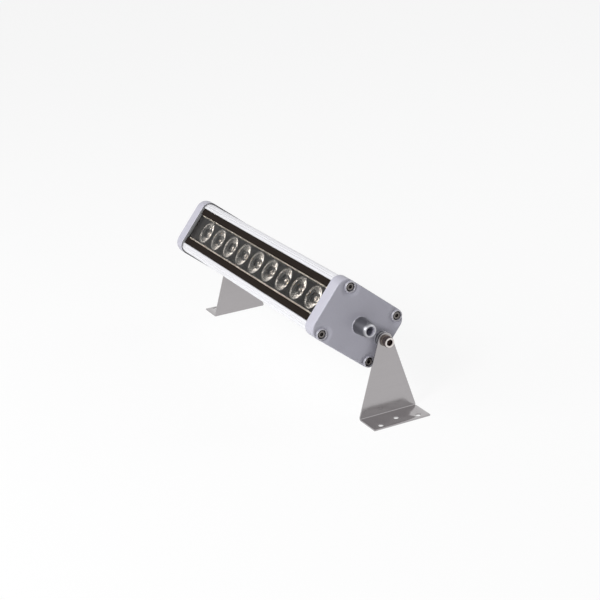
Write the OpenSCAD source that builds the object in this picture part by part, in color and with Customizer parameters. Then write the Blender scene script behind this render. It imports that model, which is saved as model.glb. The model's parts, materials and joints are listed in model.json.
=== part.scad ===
// Outdoor wall washer light: a sealed bar with nine lenses that tilts on two folded brackets.
// Row frame: X along the bar, Z up, the mounting surface at Z = 0 and the tilt axis over the origin.
// The lamp is drawn in its own frame, with Y across its width, Z along the beam and its origin
// in the middle of the four cap screws.

/* [Lamp] */
// Length over the faces of the two end caps
lamp_length = 314; // [306:1:420]
// Angle of the beam above the horizontal
aim_angle = 39; // [-15:1:90]

/* [Housing] */
// Width of the aluminium housing
housing_width = 58; // [55:0.5:66]
// From the middle of the cap screws to the front lips
housing_front = 41.8; // [41:0.1:50]
// From the middle of the cap screws to the tips of the rear fins
housing_rear = 37.3; // [36:0.1:45]
// Thickness of the housing walls
housing_wall = 2.5; // [1.8:0.1:3.2]
// Opening between the two front lips
front_opening = 42.8; // [40:0.1:44]
// Flat land on each front lip
lip_land = 2.4; // [1.5:0.1:3]
// Depth over which the shoulders curve from the lips to the sides
shoulder_depth = 8; // [5:0.5:10]
// Thickness of the shelf that carries the board
shelf_thickness = 3.5; // [2.5:0.1:5]
// Depth of the grooves between the rear fins
fin_depth = 3; // [1.5:0.1:4]
// Spacing of the rear fins
fin_pitch = 6; // [5:0.1:8]
// Depth of the grooves along the sides
side_groove_depth = 0.8; // [0.3:0.1:1.2]
// Spacing of the grooves along the sides
side_groove_pitch = 6; // [4:0.1:9]
// Outer diameter of the screw ports in the corners
port_diameter = 8; // [7:0.1:9]

/* [Glass] */
// Thickness of the toughened glass
glass_thickness = 3; // [2.5:0.1:4]
// Thickness of the black strips over the glass edges
strip_thickness = 0.6; // [0.3:0.1:1]
// Depth of the strips below the front lips
strip_recess = 0.2; // [0:0.1:0.6]
// Width of the lens window between the inner ribs
window_width = 25.2; // [24:0.1:28]
// Thickness of the ribs on both sides of the window
window_rib = 1.6; // [1:0.1:2]
// Width of the ledges that the glass is bedded on
ledge_width = 3.4; // [2.5:0.1:4]
// Thickness of the bedding tape under the glass
tape_thickness = 0.5; // [0.3:0.1:0.8]

/* [Lenses and LEDs] */
// Distance from the ends of the housing to the middle of the nearest lens
row_margin = 21.6; // [16:0.1:26]
// Outer diameter of a lens
lens_diameter = 22.6; // [18:0.1:23]
// Height of a lens face above the board
lens_height = 11.6; // [9:0.1:13]
// Gap from the lens faces to the glass
lens_gap = 3.3; // [2:0.1:4]
// Wall of a lens holder
holder_wall = 0.8; // [0.6:0.1:1]
// Thickness of the board under the LEDs
board_thickness = 1.6; // [1:0.1:2]
// Thickness of the thermal pad under the board
pad_thickness = 0.5; // [0.3:0.1:1]

/* [End caps] */
// Thickness of an end cap
cap_thickness = 14; // [12:0.1:16]
// Overhang of the caps beyond the housing, all round
cap_overhang = 1.7; // [0.8:0.1:3]
// Radius that rounds the edge of the cap's face
cap_edge_radius = 1.2; // [0.8:0.1:4]
// Thickness of the gasket behind each cap
gasket_thickness = 1; // [0.5:0.1:2]
// Depth from the front cap screws to the rear cap screws
cap_screw_depth = 60.5; // [56:0.1:62]
// Diameter of the cap screws
cap_screw_diameter = 4; // [3:0.1:4.2]
// Diameter of the wells around the screw heads
well_diameter = 9; // [8.2:0.1:9.4]
// Depth of the wells
well_depth = 5; // [4.2:0.1:5.4]
// Length of the hollow cable boss beyond the cap's face
cable_boss_length = 18.5; // [14:0.1:24]
// Outer diameter of the cable boss at its tip
cable_boss_diameter = 13; // [11:0.1:14]
// Bore of the cable boss
cable_bore = 8.6; // [6:0.1:9]

/* [Pivots] */
// Distance of the tilt axis behind the middle of the cap screws
pivot_back = 27.8; // [26:0.1:29]
// Length of the pivot bosses between caps and brackets
pivot_boss_length = 3.4; // [2.6:0.1:8]
// Diameter of the pivot bosses
pivot_boss_diameter = 15.4; // [14:0.1:16]
// Diameter of the pivot bolts
pivot_bolt_diameter = 6; // [5:0.1:6.4]

/* [Brackets] */
// Height of the tilt axis over the mounting surface
pivot_height = 73.4; // [66:0.1:110]
// Length of a bracket's foot
foot_length = 59.6; // [50:0.1:80]
// Width of a bracket's foot, from the plate outwards
foot_width = 26.2; // [25:0.1:36]
// Thickness of the bracket sheet
sheet_thickness = 1.5; // [1:0.1:2.5]
// Radius of the plate's tip around the pivot
tip_radius = 7.3; // [7:0.1:9]
// Diameter of the mounting holes
foot_hole = 5.2; // [4:0.1:6.4]
// Distance between the two outer holes of a foot
foot_hole_spacing = 40; // [36:0.1:44]
// Distance of the two outer holes from the plate
outer_hole_reach = 20.6; // [15:0.1:22]
// Distance of the middle hole from the plate
middle_hole_reach = 14.3; // [10:0.1:20]

/* [Hidden] */
$fn = 64;

// Clearances and the overrun of cuts
overrun = 1;
slip = 0.05;
joint_gap = 0.15;
end_gap = 0.3;
glass_side_gap = 0.4;

// Stations along the bar
cap_face = lamp_length / 2;
cap_back = cap_face - cap_thickness;
housing_end = cap_back - gasket_thickness;

// Stations in the depth of the bar, from the front lips backwards
housing_half = housing_width / 2;
glass_top = housing_front - strip_recess - strip_thickness;
glass_bottom = glass_top - glass_thickness;
ledge_top = glass_bottom - tape_thickness;
lens_face = glass_bottom - lens_gap;
board_top = lens_face - lens_height;
shelf_top = board_top - board_thickness - pad_thickness;
shelf_bottom = shelf_top - shelf_thickness;
chamber_rear = -housing_rear + fin_depth + housing_wall;
chamber_half = housing_half - housing_wall;

// Screw ports
port_margin = 0.2;
port_y = housing_half - port_diameter / 2 - port_margin;
port_z = cap_screw_depth / 2;
port_bore = cap_screw_diameter + 2 * slip;

// Housing details
shoulder_steps = 8;
rear_corner_radius = 6;
corner_steps = 6;
fin_gap = 3;
side_groove_width = 2;
side_groove_count = 9;
side_groove_front = housing_front - shoulder_depth - side_groove_pitch / 2;
ledge_depth = 2.5;
rail_reach = 2.2;
rail_thickness = 1.2;
notch_length = 7;
notch_width = 20;

// Board and its screws
board_side_gap = 0.5;
board_end_gap = 4;
board_width = window_width - 2 * board_side_gap;
board_half = housing_end - board_end_gap;
board_screw_diameter = 2.5;
board_screw_head = 4.6;
board_screw_head_height = 1.8;
board_screw_grip = 2.6;
board_screw_y = 8.8;
board_screw_shares = [-3.5, -1.5, 0.5, 2.5];

// LEDs, lenses and holders
led_count = 9;
lens_pitch = 2 * (housing_end - row_margin) / (led_count - 1);
led_side = 3.5;
led_base_height = 0.9;
led_dome_radius = 1.4;
lens_lift = 1.2;
lens_flange = 1.4;
lens_step = 0.6;
lens_foot_radius = 4.4;
lens_well_radius = 2.8;
lens_well_depth = 4;
lens_curve_steps = 8;
lens_curve_power = 0.62;
holder_seat_height = 1;
holder_gap = 0.2;

// Driver
driver_length = 200;
driver_board_z = -20;
driver_board_thickness = 1.6;
driver_slot_gap = 0.15;
driver_side_gap = 0.4;
driver_board_half_width = chamber_half - driver_side_gap;
transformer_size = [26, 24, 20];
transformer_core = [9, 30, 22];
transformer_share = 0.05;
capacitor_radii = [8, 5, 5];
capacitor_heights = [26, 18, 18];
capacitor_place_shares = [[-0.25, -0.17], [0.3, 0.19], [0.3, -0.19]];
choke_radius = 9;
choke_bore = 4;
choke_height = 9;
choke_share = -0.4;
heatsink_size = [30, 2, 24];
heatsink_place_shares = [-0.09, 0.34];
terminal_size = [12, 16, 9];
terminal_share = 0.44;

// Leads from the driver to the board
lead_radius = 0.9;
lead_spread = 4;
lead_sides = 8;
lead_rise_share = 0.55;
lead_pad_inset = 3.2;
lead_pad_y = 8;
lead_notch_y = 6.5;
lead_hump = 3;

// End caps
cap_half = housing_half + cap_overhang;
cap_front = housing_front + cap_overhang;
cap_rear = -housing_rear - cap_overhang;
cap_front_corner = 10;
cap_rear_corner = 10.5;
cap_edge_steps = 6;
cap_wall = 4;
pocket_margin = 3;
ring_wall = 1.15;
ring_drop = 0.3;
dish_depth = 1.8;
dish_radius = 12;
post_wall = 1.2;
cable_boss_root = 16.4;
cable_boss_fillet = 1.6;
cable_boss_lip = 1.8;
pivot_boss_fillet = 2;
fillet_steps = 3;

// Cap screws
cap_screw_length = 25;
cap_screw_head = 7;
cap_screw_head_height = 4;
cap_screw_socket = 3;
cap_screw_socket_depth = 2;
cap_screw_clearance = 0.25;
head_edge = 0.4;

// Gaskets, grommet and plug
gasket_overhang = 0.5;
gasket_corner = 7;
gasket_band = 4;
grommet_wall = 2.2;
grommet_depth = 5;
grommet_bore = 6.8;
plug_flange = 2;
plug_flange_inset = 0.5;
plug_depth = 15;

// Pivot bolts and washers
pivot_thread_depth = 16;
bolt_head = 10;
bolt_head_height = 6;
bolt_socket = 5;
bolt_socket_depth = 3;
bolt_reach = 14;
spring_washer_thickness = 1.9;
spring_washer_radius = 5.3;
spring_washer_split = 0.9;
flat_washer_thickness = 1.6;
flat_washer_radius = 6;
washer_bore_gap = 0.2;

// Brackets
plate_inner = cap_face + pivot_boss_length + flat_washer_thickness + joint_gap;
plate_outer = plate_inner + sheet_thickness;
washer_seat = plate_outer + joint_gap;
bolt_seat = washer_seat + spring_washer_thickness;
bend_radius = 0.6;
skirt_height = 3;
tip_steps = 12;
hole_running_gap = 0.06;

// Places the lamp's own frame in the row frame, at the aimed angle
module in_lamp() {
    translate([0, 0, pivot_height])
        rotate([90 - aim_angle, 0, 0])
            translate([0, 0, pivot_back])
                children();
}

// Extrudes a section drawn in (y, z) along X, from x_start over a length
module along_x(x_start, length) {
    translate([x_start, 0, 0])
        rotate([90, 0, 90])
            linear_extrude(length)
                children();
}

// Stands a solid of revolution, drawn about its own Z, on the X axis
module about_x(x_start) {
    translate([x_start, 0, 0])
        rotate([0, 90, 0])
            children();
}

// Repeats a child for the left end, as the mirror image of the right end
module left_side() {
    mirror([1, 0, 0]) children();
}

function arc_points(centre, radii, from_angle, to_angle, steps) = [
    for (i = [0 : steps])
        let (a = from_angle + (to_angle - from_angle) * i / steps)
            [centre.x + radii.x * cos(a), centre.y + radii.y * sin(a)]
];

function mirrored(points) = [for (i = [len(points) - 1 : -1 : 0]) [-points[i].x, points[i].y]];

function lens_x(number) = (number - (led_count + 1) / 2) * lens_pitch;

// Half outline of the housing: lip, shoulder, side and rounded rear corner
function housing_half_outline() = let (lip_outer = front_opening / 2 + lip_land) concat(
    arc_points([housing_half - rear_corner_radius, -housing_rear + rear_corner_radius],
        [rear_corner_radius, rear_corner_radius], -90, 0, corner_steps),
    arc_points([lip_outer, housing_front - shoulder_depth],
        [housing_half - lip_outer, shoulder_depth], 0, 90, shoulder_steps)
);

module housing_outline() {
    half = housing_half_outline();
    polygon(concat(half, mirrored(half)));
}

module port_places() {
    for (y = [-port_y, port_y], z = [-port_z, port_z])
        translate([y, z]) children();
}

// Both mirror images of a rectangle beside the middle line, its near lower corner at (y, z)
module side_pair(y, z, width, height) {
    for (side = [-1, 1])
        translate([side * (y + width / 2), z + height / 2])
            square([width, height], center = true);
}

// Hollows of the section: glass rebate, lens window and side channels, which leave ribs between them
module housing_hollows() {
    ledge_inner = front_opening / 2 - ledge_width;
    channel_inner = window_width / 2 + window_rib;
    channel_top = ledge_top - ledge_depth;
    translate([-front_opening / 2, glass_bottom])
        square([front_opening, housing_front - glass_bottom + overrun]);
    side_pair(channel_inner, ledge_top, front_opening / 2 - channel_inner,
        glass_bottom - ledge_top + overrun);
    translate([-window_width / 2, shelf_top])
        square([window_width, housing_front - shelf_top]);
    side_pair(channel_inner, shelf_top, chamber_half - channel_inner, channel_top - shelf_top);
    side_pair(channel_inner, channel_top - overrun, ledge_inner - channel_inner,
        ledge_depth + 2 * overrun);
}

// Grooves between the rear fins and along the sides
module housing_grooves() {
    fin_span = housing_half - rear_corner_radius - fin_gap / 2;
    fin_steps = floor(fin_span / fin_pitch);
    for (i = [-fin_steps : fin_steps])
        translate([i * fin_pitch - fin_gap / 2, -housing_rear - overrun])
            square([fin_gap, fin_depth + overrun]);
    for (i = [0 : side_groove_count - 1])
        side_pair(housing_half - side_groove_depth, side_groove_front - i * side_groove_pitch,
            side_groove_depth + overrun, side_groove_width);
}

// Hollow of the driver chamber, between two pairs of rails that hold the edges of the driver board
module driver_chamber() {
    slot_half = driver_board_thickness / 2 + driver_slot_gap;
    middle = driver_board_z - driver_board_thickness / 2;
    difference() {
        translate([-chamber_half, chamber_rear])
            square([2 * chamber_half, shelf_bottom - chamber_rear]);
        for (z = [middle + slot_half, middle - slot_half - rail_thickness])
            side_pair(chamber_half - rail_reach, z, rail_reach + overrun, rail_thickness);
    }
}

module housing_section() {
    difference() {
        union() {
            difference() {
                housing_outline();
                housing_hollows();
                driver_chamber();
                housing_grooves();
            }
            intersection() {
                housing_outline();
                port_places() circle(d = port_diameter);
            }
        }
        port_places() circle(d = port_bore);
    }
}

module board_screw_places() {
    for (i = [0 : len(board_screw_shares) - 1])
        translate([board_screw_shares[i] * lens_pitch, (i % 2 == 0 ? 1 : -1) * board_screw_y, 0])
            children();
}

module housing_extrusion() {
    color([0.86, 0.87, 0.89])
        in_lamp() difference() {
            along_x(-housing_end, 2 * housing_end) housing_section();
            translate([housing_end - notch_length, -notch_width / 2, shelf_bottom - overrun])
                cube([notch_length + overrun, notch_width, shelf_thickness + 2 * overrun]);
            board_screw_places()
                translate([0, 0, shelf_top - board_screw_grip])
                    cylinder(d = board_screw_diameter + 2 * slip, h = board_screw_grip + overrun);
        }
}

module glass_cover() {
    width = front_opening - 2 * glass_side_gap;
    color([0.80, 0.86, 0.88, 0.4])
        in_lamp()
            translate([-housing_end + end_gap, -width / 2, glass_bottom])
                cube([2 * (housing_end - end_gap), width, glass_thickness]);
}

// The black strip on the glass between the upper lip and the lens window
module glazing_strip() {
    inner = window_width / 2 + window_rib;
    outer = front_opening / 2 - glass_side_gap;
    translate([-housing_end + end_gap, inner, glass_top])
        cube([2 * (housing_end - end_gap), outer - inner, strip_thickness]);
}

module upper_glazing_strip() {
    color([0.12, 0.10, 0.09]) in_lamp() glazing_strip();
}

module lower_glazing_strip() {
    color([0.12, 0.10, 0.09]) in_lamp() mirror([0, 1, 0]) glazing_strip();
}

module glass_bedding_tapes() {
    color([0.25, 0.25, 0.26])
        in_lamp() for (side = [0, 1])
            mirror([0, side, 0])
                translate([-housing_end + end_gap, front_opening / 2 - ledge_width, ledge_top])
                    cube([2 * (housing_end - end_gap), ledge_width - glass_side_gap, tape_thickness]);
}

// A flat sheet on the shelf, pierced for the board screws
module shelf_sheet(bottom, thickness) {
    in_lamp() difference() {
        translate([-board_half, -board_width / 2, bottom])
            cube([2 * board_half, board_width, thickness]);
        board_screw_places()
            translate([0, 0, bottom - overrun])
                cylinder(d = board_screw_diameter + 2 * slip, h = thickness + 2 * overrun);
    }
}

module thermal_pad() {
    color([0.55, 0.60, 0.66]) shelf_sheet(shelf_top, pad_thickness);
}

module led_board() {
    color([0.10, 0.10, 0.11]) shelf_sheet(shelf_top + pad_thickness, board_thickness);
}

module board_screws() {
    depth = board_thickness + pad_thickness + board_screw_grip;
    color([0.75, 0.75, 0.77])
        in_lamp() board_screw_places() {
            translate([0, 0, board_top - depth])
                cylinder(d = board_screw_diameter, h = depth + head_edge);
            difference() {
                translate([0, 0, board_top])
                    cylinder(d1 = board_screw_head, d2 = board_screw_head - head_edge,
                        h = board_screw_head_height);
                translate([0, 0, board_top + board_screw_head_height / 2])
                    cylinder(d = board_screw_head / 2, h = board_screw_head_height, $fn = 6);
            }
        }
}

// One LED: a square ceramic base and its clear dome
module led(number) {
    color([0.93, 0.90, 0.66])
        in_lamp() translate([lens_x(number), 0, board_top]) {
            translate([-led_side / 2, -led_side / 2, 0])
                cube([led_side, led_side, led_base_height]);
            intersection() {
                translate([0, 0, led_base_height]) sphere(r = led_dome_radius);
                translate([-led_side / 2, -led_side / 2, led_base_height / 2])
                    cube([led_side, led_side, led_base_height / 2 + led_dome_radius + overrun]);
            }
        }
}

// A block that stands on its place, centred there
module standing_block(size) {
    translate([-size.x / 2, -size.y / 2, 0]) cube(size);
}

// One lens: flange, curved reflecting cone and the well over the LED
module lens(number) {
    rim = lens_diameter / 2;
    foot = lens_foot_radius;
    cone_height = lens_height - lens_lift - lens_flange;
    cone = [
        for (i = [0 : lens_curve_steps])
            let (t = i / lens_curve_steps)
                [foot + (rim - lens_step - foot) * pow(t, lens_curve_power), lens_lift + cone_height * t]
    ];
    color([0.85, 0.88, 0.90, 0.5])
        in_lamp() translate([lens_x(number), 0, board_top])
            rotate_extrude() polygon(concat(
                [[0, lens_lift + lens_well_depth], [lens_well_radius, lens_lift + lens_well_depth],
                    [lens_well_radius, lens_lift]],
                cone,
                [[rim, lens_height - lens_flange], [rim, lens_height], [0, lens_height]]
            ));
}

// One holder: a cup with a seat under the flange of the lens, cut flat where it would meet the next
module lens_holder(number) {
    inner = lens_diameter / 2 + slip;
    outer = inner + holder_wall;
    seat_top = lens_height - lens_flange;
    room = lens_pitch - holder_gap;
    color([0.09, 0.08, 0.08])
        in_lamp() translate([lens_x(number), 0, board_top]) intersection() {
            rotate_extrude() polygon([
                [inner, 0], [outer, 0], [outer, lens_height], [inner, lens_height], [inner, seat_top],
                [inner - lens_step + slip, seat_top], [inner, seat_top - holder_seat_height]
            ]);
            translate([0, 0, -overrun])
                standing_block([room, 2 * (outer + overrun), lens_height + 2 * overrun]);
        }
}

module driver_board() {
    color([0.10, 0.36, 0.20])
        in_lamp()
            translate([0, 0, driver_board_z - driver_board_thickness])
                standing_block([driver_length, 2 * driver_board_half_width, driver_board_thickness]);
}

// Stands a component on the driver board, at a place in shares of the board's length and width
module on_driver_board(x_share, y_share) {
    in_lamp()
        translate([x_share * driver_length, y_share * 2 * driver_board_half_width, driver_board_z])
            children();
}

module driver_transformer() {
    color([0.85, 0.72, 0.20])
        on_driver_board(transformer_share, 0) {
            standing_block(transformer_size);
            standing_block(transformer_core);
        }
}

module driver_capacitors() {
    color([0.12, 0.13, 0.20])
        for (i = [0 : len(capacitor_radii) - 1])
            on_driver_board(capacitor_place_shares[i].x, capacitor_place_shares[i].y)
                cylinder(r = capacitor_radii[i], h = capacitor_heights[i]);
}

module driver_choke() {
    color([0.62, 0.32, 0.14])
        on_driver_board(choke_share, 0) difference() {
            cylinder(r = choke_radius, h = choke_height);
            translate([0, 0, -overrun]) cylinder(r = choke_bore, h = choke_height + 2 * overrun);
        }
}

module driver_heatsink() {
    color([0.70, 0.71, 0.72])
        on_driver_board(heatsink_place_shares.x, heatsink_place_shares.y)
            standing_block(heatsink_size);
}

module driver_terminal() {
    color([0.15, 0.45, 0.25])
        on_driver_board(terminal_share, 0) standing_block(terminal_size);
}

// Ring of points around one station of a lead, square to its direction
function lead_ring(point, along) = let (
    ahead = along / norm(along),
    side = let (s = cross(ahead, [0, 1, 0])) s / norm(s),
    up = cross(side, ahead)
) [for (k = [0 : lead_sides - 1]) point
    + lead_radius * (cos(360 * k / lead_sides) * side + sin(360 * k / lead_sides) * up)];

// One lead as a tube through its route's points
module lead(route) {
    last = len(route) - 1;
    rings = [
        for (i = [0 : last])
            each lead_ring(route[i], route[min(i + 1, last)] - route[max(i - 1, 0)])
    ];
    walls = [
        for (i = [0 : last - 1], k = [0 : lead_sides - 1])
            let (a = i * lead_sides + k, b = i * lead_sides + (k + 1) % lead_sides)
                each [[a, b, b + lead_sides], [a, b + lead_sides, a + lead_sides]]
    ];
    first_end = [for (k = [lead_sides - 1 : -1 : 0]) k];
    last_end = [for (k = [0 : lead_sides - 1]) last * lead_sides + k];
    polyhedron(rings, concat(walls, [first_end, last_end]));
}

function lead_route(side) = let (
    terminal_x = terminal_share * driver_length,
    start_z = driver_board_z + terminal_size.z,
    notch_x = housing_end - notch_length / 2,
    pad_x = board_half - lead_pad_inset
) [
    [terminal_x, side * lead_spread, start_z],
    [terminal_x, side * lead_spread, start_z + lead_hump],
    [terminal_x + lead_hump, side * lead_spread, start_z + 2 * lead_hump],
    [(terminal_x + notch_x) / 2, side * (lead_spread + lead_notch_y) / 2,
        start_z + (shelf_bottom - start_z) * lead_rise_share],
    [notch_x - lead_hump / 2, side * lead_notch_y, shelf_bottom - lead_hump],
    [notch_x, side * lead_notch_y, shelf_bottom],
    [notch_x + lead_radius, side * lead_notch_y, board_top],
    [notch_x, side * (lead_notch_y + lead_pad_y) / 2, board_top + lead_hump],
    [(notch_x + pad_x) / 2, side * lead_pad_y, board_top + lead_hump + lead_radius],
    [pad_x, side * lead_pad_y, board_top + lead_hump],
    [pad_x, side * lead_pad_y, board_top]
];

module led_leads() {
    color([0.75, 0.12, 0.10])
        in_lamp() for (side = [-1, 1]) lead(lead_route(side));
}

// Outline of an end cap: large radii in front, smaller ones behind
module cap_outline() {
    points = concat(
        arc_points([cap_half - cap_rear_corner, cap_rear + cap_rear_corner],
            [cap_rear_corner, cap_rear_corner], -90, 0, corner_steps),
        arc_points([cap_half - cap_front_corner, cap_front - cap_front_corner],
            [cap_front_corner, cap_front_corner], 0, 90, corner_steps)
    );
    polygon(concat(points, mirrored(points)));
}

// Half profile of the cap's slab seen along one side: back edge, side and rounded face edge
function slab_edge(reach) = concat(
    [[reach, cap_back]],
    arc_points([reach - cap_edge_radius, cap_face - cap_edge_radius],
        [cap_edge_radius, cap_edge_radius], 0, 90, cap_edge_steps)
);

// Plain slab of the cap: its outline, with the edge of the face rounded off on all four sides
module cap_slab() {
    middle = (cap_front + cap_rear) / 2;
    side_edge = slab_edge(cap_half);
    end_edge = slab_edge((cap_front - cap_rear) / 2);
    depth = cap_front - cap_rear;
    intersection() {
        along_x(cap_back, cap_thickness) cap_outline();
        translate([0, 0, cap_rear - overrun])
            linear_extrude(depth + 2 * overrun)
                polygon([for (p = concat(side_edge, mirrored(side_edge))) [p.y, p.x]]);
        translate([0, cap_half + overrun, middle])
            rotate([90, 0, 0])
                linear_extrude(2 * (cap_half + overrun))
                    polygon([for (p = concat(end_edge, mirrored(end_edge))) [p.y, p.x]]);
    }
}

// Shallow spherical dish around a screw
module cap_dish() {
    dish_sphere = (dish_radius * dish_radius + dish_depth * dish_depth) / (2 * dish_depth);
    translate([0, 0, dish_sphere - dish_depth]) sphere(r = dish_sphere);
}

module cap_screw_places() {
    for (y = [-port_y, port_y], z = [-port_z, port_z])
        translate([0, y, z]) children();
}

// A boss of revolution on the cap's face, with a concave root and a rounded tip
module cap_boss(root_radius, tip_radius_out, length, fillet, edge) {
    root = [for (i = [0 : fillet_steps])
        let (a = 90 * i / fillet_steps)
            [root_radius + fillet * (1 - sin(a)), fillet * (1 - cos(a))]];
    tip = [for (i = [0 : fillet_steps])
        let (a = 90 * i / fillet_steps)
            [tip_radius_out - edge * (1 - cos(a)), length - edge * (1 - sin(a))]];
    rotate_extrude() polygon(concat(
        [[0, -overrun], [root_radius + fillet, -overrun]], root, tip, [[0, length]]
    ));
}

// The cap's inner pocket, with posts left around screws, pivot and cable bore
module cap_pocket_section() {
    half = chamber_half - pocket_margin;
    rear = chamber_rear + pocket_margin;
    front = ledge_top - pocket_margin;
    difference() {
        translate([-half, rear]) square([2 * half, front - rear]);
        port_places() circle(d = well_diameter + 2 * post_wall);
        circle(d = cable_bore + 2 * grommet_wall + 2 * post_wall);
        translate([0, -pivot_back]) circle(d = pivot_boss_diameter);
    }
}

// The whole right-hand casting in the lamp's frame
module cap_casting() {
    ring_radius = well_diameter / 2 + ring_wall;
    ring_top = cap_face - ring_drop;
    difference() {
        union() {
            difference() {
                cap_slab();
                cap_screw_places() about_x(cap_face) cap_dish();
            }
            cap_screw_places()
                about_x(cap_back) cylinder(r = ring_radius, h = ring_top - cap_back);
            about_x(cap_face)
                cap_boss(cable_boss_root / 2, cable_boss_diameter / 2, cable_boss_length,
                    cable_boss_fillet, cable_boss_lip);
            translate([0, 0, -pivot_back]) about_x(cap_face)
                cap_boss(pivot_boss_diameter / 2, pivot_boss_diameter / 2, pivot_boss_length,
                    pivot_boss_fillet, head_edge);
        }
        along_x(cap_back - overrun, cap_thickness - cap_wall + overrun) cap_pocket_section();
        cap_screw_places() {
            about_x(cap_face - well_depth)
                cylinder(d = well_diameter, h = well_depth + overrun);
            about_x(cap_back - overrun)
                cylinder(d = cap_screw_diameter + 2 * cap_screw_clearance, h = cap_thickness);
        }
        about_x(cap_back - overrun)
            cylinder(d = cable_bore, h = cap_thickness + cable_boss_length + 2 * overrun);
        about_x(cap_back - overrun)
            cylinder(d = cable_bore + 2 * grommet_wall, h = grommet_depth + overrun);
        translate([0, 0, -pivot_back])
            about_x(cap_face + pivot_boss_length - pivot_thread_depth)
                cylinder(d = pivot_bolt_diameter + 2 * slip, h = pivot_thread_depth + overrun);
    }
}

module right_end_cap() {
    color([0.62, 0.62, 0.66]) in_lamp() cap_casting();
}

module left_end_cap() {
    color([0.62, 0.62, 0.66]) in_lamp() left_side() cap_casting();
}

// Gasket: the outline of the housing with squarer corners, pierced for screws
module gasket_section() {
    half = housing_half + gasket_overhang;
    front = housing_front + gasket_overhang;
    rear = -housing_rear - gasket_overhang;
    points = concat(
        arc_points([half - cap_rear_corner, rear + cap_rear_corner], [cap_rear_corner, cap_rear_corner],
            -90, 0, corner_steps),
        arc_points([half - gasket_corner, front - gasket_corner], [gasket_corner, gasket_corner],
            0, 90, corner_steps)
    );
    inner_half = half - gasket_band;
    difference() {
        polygon(concat(points, mirrored(points)));
        difference() {
            translate([-inner_half, rear + gasket_band + fin_depth])
                square([2 * inner_half, ledge_top - 2 * gasket_band - rear - fin_depth]);
            port_places() circle(d = well_diameter + 2 * post_wall);
        }
        port_places() circle(d = cap_screw_diameter + 2 * cap_screw_clearance);
    }
}

module gasket() {
    in_lamp() along_x(housing_end, gasket_thickness) gasket_section();
}

module right_gasket() {
    color([0.07, 0.07, 0.08]) gasket();
}

module left_gasket() {
    color([0.07, 0.07, 0.08])
        in_lamp() left_side() along_x(housing_end, gasket_thickness) gasket_section();
}

// A socket-head screw along X, its head's bearing face at the origin and its shank inwards
module socket_screw(diameter, reach, head, head_height, socket, socket_depth) {
    about_x(-reach) cylinder(d = diameter, h = reach + head_edge);
    difference() {
        about_x(0) union() {
            cylinder(d = head, h = head_height - head_edge);
            translate([0, 0, head_height - head_edge])
                cylinder(d1 = head, d2 = head - 2 * head_edge, h = head_edge);
        }
        about_x(head_height - socket_depth)
            cylinder(d = socket / cos(30), h = socket_depth + overrun, $fn = 6);
    }
}

module cap_screw_set() {
    cap_screw_places()
        translate([cap_face - well_depth, 0, 0])
            socket_screw(cap_screw_diameter, cap_screw_length, cap_screw_head, cap_screw_head_height,
                cap_screw_socket, cap_screw_socket_depth);
}

module right_cap_screws() {
    color([0.55, 0.55, 0.56]) in_lamp() cap_screw_set();
}

module left_cap_screws() {
    color([0.55, 0.55, 0.56]) in_lamp() left_side() cap_screw_set();
}

module cable_grommet() {
    color([0.06, 0.06, 0.06])
        in_lamp() about_x(cap_back)
            rotate_extrude()
                translate([grommet_bore / 2, 0])
                    square([(cable_bore - grommet_bore) / 2 + grommet_wall - slip, grommet_depth]);
}

module blanking_plug() {
    tip = cap_face + cable_boss_length;
    color([0.06, 0.06, 0.06])
        in_lamp() left_side() {
            about_x(tip - plug_depth)
                cylinder(d = cable_bore - 2 * slip, h = plug_depth + plug_flange / 2);
            about_x(tip) cylinder(d = cable_boss_diameter - 2 * plug_flange_inset, h = plug_flange);
        }
}

module at_right_pivot() {
    in_lamp() translate([0, 0, -pivot_back]) children();
}

module at_left_pivot() {
    in_lamp() left_side() translate([0, 0, -pivot_back]) children();
}

module pivot_bolt() {
    translate([bolt_seat, 0, 0])
        socket_screw(pivot_bolt_diameter, bolt_seat - cap_face - pivot_boss_length + bolt_reach,
            bolt_head, bolt_head_height, bolt_socket, bolt_socket_depth);
}

module right_pivot_bolt() {
    color([0.62, 0.60, 0.58]) at_right_pivot() pivot_bolt();
}

module left_pivot_bolt() {
    color([0.62, 0.60, 0.58]) at_left_pivot() pivot_bolt();
}

// A flat ring around the pivot bolt
module washer(radius, thickness) {
    difference() {
        cylinder(r = radius, h = thickness);
        translate([0, 0, -overrun])
            cylinder(d = pivot_bolt_diameter + 2 * washer_bore_gap, h = thickness + 2 * overrun);
    }
}

// The split ring under the bolt head
module spring_washer() {
    about_x(washer_seat) difference() {
        washer(spring_washer_radius, spring_washer_thickness);
        translate([0, -spring_washer_split / 2, -overrun])
            cube([spring_washer_radius + overrun, spring_washer_split,
                spring_washer_thickness + 2 * overrun]);
    }
}

module flat_washer() {
    about_x(cap_face + pivot_boss_length) washer(flat_washer_radius, flat_washer_thickness);
}

module right_spring_washer() {
    color([0.66, 0.65, 0.64]) at_right_pivot() spring_washer();
}

module left_spring_washer() {
    color([0.66, 0.65, 0.64]) at_left_pivot() spring_washer();
}

module right_flat_washer() {
    color([0.70, 0.70, 0.70]) at_right_pivot() flat_washer();
}

module left_flat_washer() {
    color([0.70, 0.70, 0.70]) at_left_pivot() flat_washer();
}

// Side view of a bracket, in (y, z): foot line, short skirt and sloping edges to the round tip
module bracket_side_view() {
    half = foot_length / 2;
    drop = pivot_height - skirt_height;
    touch_angle = acos(tip_radius / norm([half, drop])) - atan2(drop, half);
    polygon(concat(
        [[-half, skirt_height], [-half, 0], [half, 0], [half, skirt_height]],
        arc_points([0, pivot_height], [tip_radius, tip_radius],
            touch_angle, 180 - touch_angle, tip_steps)
    ));
}

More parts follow.
